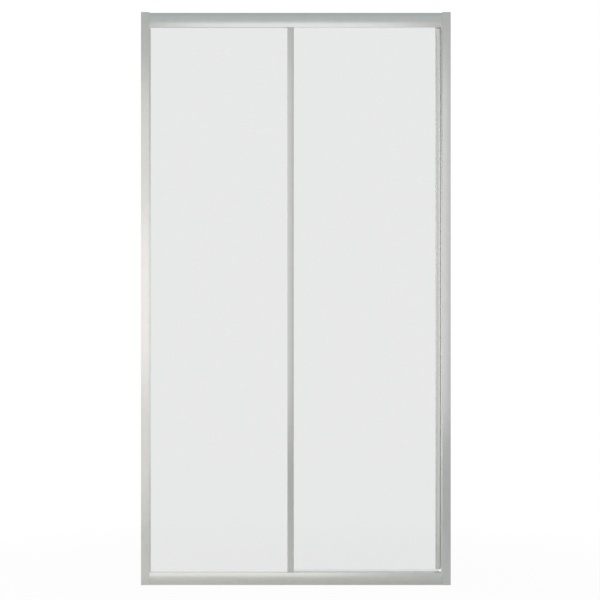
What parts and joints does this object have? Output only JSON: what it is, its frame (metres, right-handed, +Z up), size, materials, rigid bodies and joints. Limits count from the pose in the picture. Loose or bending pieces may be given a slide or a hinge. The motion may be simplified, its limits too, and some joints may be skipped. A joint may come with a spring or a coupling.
{
  "type": "sliding shower door",
  "caption": "Framed alcove shower door with a fixed clear pane and a clear panel that slides behind it on grooved wheels, in satin aluminium with convex rails.",
  "frame": {"origin": "middle of the sill's underside, half-way through the depth of the frame", "axes": "+X to the right as seen from outside the shower, +Y into the shower, +Z up"},
  "size_m": [1, 0.0522, 1.85],
  "materials": {
    "satin_aluminium": "satin bright anodised",
    "clear_glass": "clear polished",
    "clear_seal": "translucent soft PVC",
    "magnet_strip": "pale soft PVC over a magnet",
    "grey_plastic": "moulded grey",
    "white_nylon": "moulded white",
    "black_rubber": "matte",
    "steel": "plain stainless"
  },
  "bodies": {
    "frame": {"left_wall_channel": "satin_aluminium", "right_wall_channel": "satin_aluminium", "left_upright": "satin_aluminium", "right_upright": "satin_aluminium", "header_rail": "satin_aluminium", "sill_rail": "satin_aluminium", "left_top_cap": "grey_plastic", "right_top_cap": "grey_plastic", "frame_corner_screws": "steel", "jamb_screws": "steel", "fixed_glass": "clear_glass", "fixed_glass_side_gasket": "clear_seal", "fixed_glass_top_gasket": "clear_seal", "fixed_glass_bottom_gasket": "clear_seal", "glass_setting_blocks": "black_rubber", "fixed_stile": "satin_aluminium", "fixed_stile_gasket": "clear_seal", "fixed_stile_lip_seal": "clear_seal", "sill_wiper": "clear_seal", "sill_slot_cover": "satin_aluminium", "header_slot_cover": "satin_aluminium", "right_groove_cover": "satin_aluminium", "jamb_magnet_strip": "magnet_strip", "open_stop": "black_rubber", "closed_stop": "black_rubber"},
    "panel": {"sliding_glass": "clear_glass", "overlap_stile": "satin_aluminium", "overlap_stile_gasket": "clear_seal", "closing_stile": "satin_aluminium", "edge_pull": "satin_aluminium", "closing_stile_gasket": "clear_seal", "stile_end_caps": "grey_plastic", "door_magnet_strip": "magnet_strip", "eccentric_bushes": "white_nylon", "roller_clamp_nuts": "grey_plastic", "roller_clamp_screws": "steel", "roller_clamp_pads": "black_rubber", "top_wheel_axles": "steel", "guide_clamp_nuts": "grey_plastic", "guide_clamp_screws": "steel", "guide_clamp_pads": "black_rubber", "left_roller_plate": "steel", "right_roller_plate": "steel", "left_guide_body": "grey_plastic", "right_guide_body": "grey_plastic", "left_guide_spring": "steel", "right_guide_spring": "steel"},
    "top_wheel_1": {"top_wheel_1": "white_nylon"},
    "top_wheel_2": {"top_wheel_2": "white_nylon"},
    "top_wheel_3": {"top_wheel_3": "white_nylon"},
    "top_wheel_4": {"top_wheel_4": "white_nylon"},
    "left_guide_slider": {"left_guide_slider": "white_nylon", "left_guide_axle": "steel"},
    "right_guide_slider": {"right_guide_slider": "white_nylon", "right_guide_axle": "steel"},
    "left_guide_wheel": {"left_guide_wheel": "white_nylon"},
    "right_guide_wheel": {"right_guide_wheel": "white_nylon"}
  },
  "joints": [
    {"name": "panel_slide", "type": "slide", "parent": "frame", "child": "panel", "axis": [-1, 0, 0], "range_m": [0, 0.43]},
    {"name": "top_wheel_1_spin", "type": "hinge", "parent": "panel", "child": "top_wheel_1", "pos_m": [0.029, 0.0185, 1.8253], "axis": [0, 1, 0], "continuous": true},
    {"name": "top_wheel_2_spin", "type": "hinge", "parent": "panel", "child": "top_wheel_2", "pos_m": [0.061, 0.0185, 1.8253], "axis": [0, 1, 0], "continuous": true},
    {"name": "top_wheel_3_spin", "type": "hinge", "parent": "panel", "child": "top_wheel_3", "pos_m": [0.3814, 0.0185, 1.8253], "axis": [0, 1, 0], "continuous": true},
    {"name": "top_wheel_4_spin", "type": "hinge", "parent": "panel", "child": "top_wheel_4", "pos_m": [0.4134, 0.0185, 1.8253], "axis": [0, 1, 0], "continuous": true},
    {"name": "left_guide_press", "type": "slide", "parent": "panel", "child": "left_guide_slider", "axis": [0, 0, -1], "range_m": [0, 0.005], "stiffness_N_per_m": 400, "springref_m": -0.004, "deforming": ["left_guide_spring"]},
    {"name": "left_guide_wheel_spin", "type": "hinge", "parent": "left_guide_slider", "child": "left_guide_wheel", "pos_m": [0.045, 0.0185, 0.0167], "axis": [0, 1, 0], "continuous": true},
    {"name": "right_guide_press", "type": "slide", "parent": "panel", "child": "right_guide_slider", "axis": [0, 0, -1], "range_m": [0, 0.005], "stiffness_N_per_m": 400, "springref_m": -0.004, "deforming": ["right_guide_spring"]},
    {"name": "right_guide_wheel_spin", "type": "hinge", "parent": "right_guide_slider", "child": "right_guide_wheel", "pos_m": [0.3974, 0.0185, 0.0167], "axis": [0, 1, 0], "continuous": true}
  ],
  "couplings": [
    {"joint": "top_wheel_1_spin", "follows": "panel_slide", "rad_per_m": -111.11},
    {"joint": "top_wheel_2_spin", "follows": "panel_slide", "rad_per_m": -111.11},
    {"joint": "top_wheel_3_spin", "follows": "panel_slide", "rad_per_m": -111.11},
    {"joint": "top_wheel_4_spin", "follows": "panel_slide", "rad_per_m": -111.11},
    {"joint": "left_guide_wheel_spin", "follows": "panel_slide", "rad_per_m": 142.86},
    {"joint": "right_guide_wheel_spin", "follows": "panel_slide", "rad_per_m": 142.86}
  ]
}
